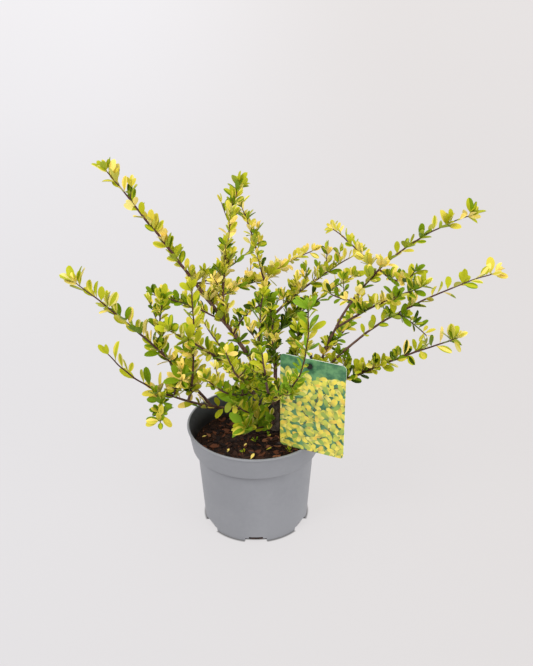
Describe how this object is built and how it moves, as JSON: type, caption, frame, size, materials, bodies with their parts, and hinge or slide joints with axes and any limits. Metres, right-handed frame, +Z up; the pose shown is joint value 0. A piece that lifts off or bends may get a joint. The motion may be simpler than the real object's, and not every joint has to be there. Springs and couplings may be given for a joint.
{
  "type": "golden gem japanese holly in a nursery pot",
  "caption": "Low spreading evergreen shrub with small lime and yellow leaves on thin dark boughs, in a round grey nursery pot, with a picture label on a stick.",
  "frame": {"origin": "middle of the pot's flat underside, where it stands on the floor", "axes": "+Z up through the pot's axis; -Y towards the side the plant is seen from, with the label at the front right (+X, -Y)"},
  "size_m": [0.5284, 0.4926, 0.4494],
  "materials": {
    "pot_plastic": "satin grey moulded plastic",
    "compost": "dark moist bark compost",
    "bark": "dull brown bark",
    "leaves": "waxy lime and yellow leaves",
    "card_print": "printed card with a clear gloss",
    "stick_plastic": "black moulded plastic"
  },
  "bodies": {
    "root": {"bough_back_far": "bark", "bough_back_left": "bark", "bough_back_mid": "bark", "bough_front": "bark", "bough_front_left": "bark", "bough_front_low_left": "bark", "bough_front_mid": "bark", "bough_great_right": "bark", "bough_left_riser": "bark", "bough_long_left": "bark", "bough_long_right": "bark", "bough_low_left": "bark", "bough_low_right": "bark", "bough_mid_right": "bark", "bough_right_mid": "bark", "bough_tall_left": "bark", "bough_tall_mid": "bark", "bough_tall_mid_left": "bark", "label_card": "card_print", "label_stick": "stick_plastic", "leaves_arching": "leaves", "leaves_back_far": "leaves", "leaves_back_left": "leaves", "leaves_back_mid": "leaves", "leaves_back_right": "leaves", "leaves_core_right": "leaves", "leaves_front": "leaves", "leaves_front_foot": "leaves", "leaves_front_left": "leaves", "leaves_front_low_left": "leaves", "leaves_front_mid": "leaves", "leaves_front_right": "leaves", "leaves_front_riser": "leaves", "leaves_front_spray": "leaves", "leaves_great_right": "leaves", "leaves_inner": "leaves", "leaves_left_cluster": "leaves", "leaves_left_fork": "leaves", "leaves_left_riser": "leaves", "leaves_left_twig": "leaves", "leaves_long_left": "leaves", "leaves_long_right": "leaves", "leaves_low_left": "leaves", "leaves_low_left_drop": "leaves", "leaves_low_right": "leaves", "leaves_mid_right": "leaves", "leaves_mid_right_top": "leaves", "leaves_right_drop": "leaves", "leaves_right_fork": "leaves", "leaves_right_inner": "leaves", "leaves_right_low_fork": "leaves", "leaves_right_mid": "leaves", "leaves_tall_left": "leaves", "leaves_tall_mid": "leaves", "leaves_tall_mid_left": "leaves", "leaves_thin_left": "leaves", "pot": "pot_plastic", "soil": "compost", "trunk": "bark"}
  },
  "joints": []
}
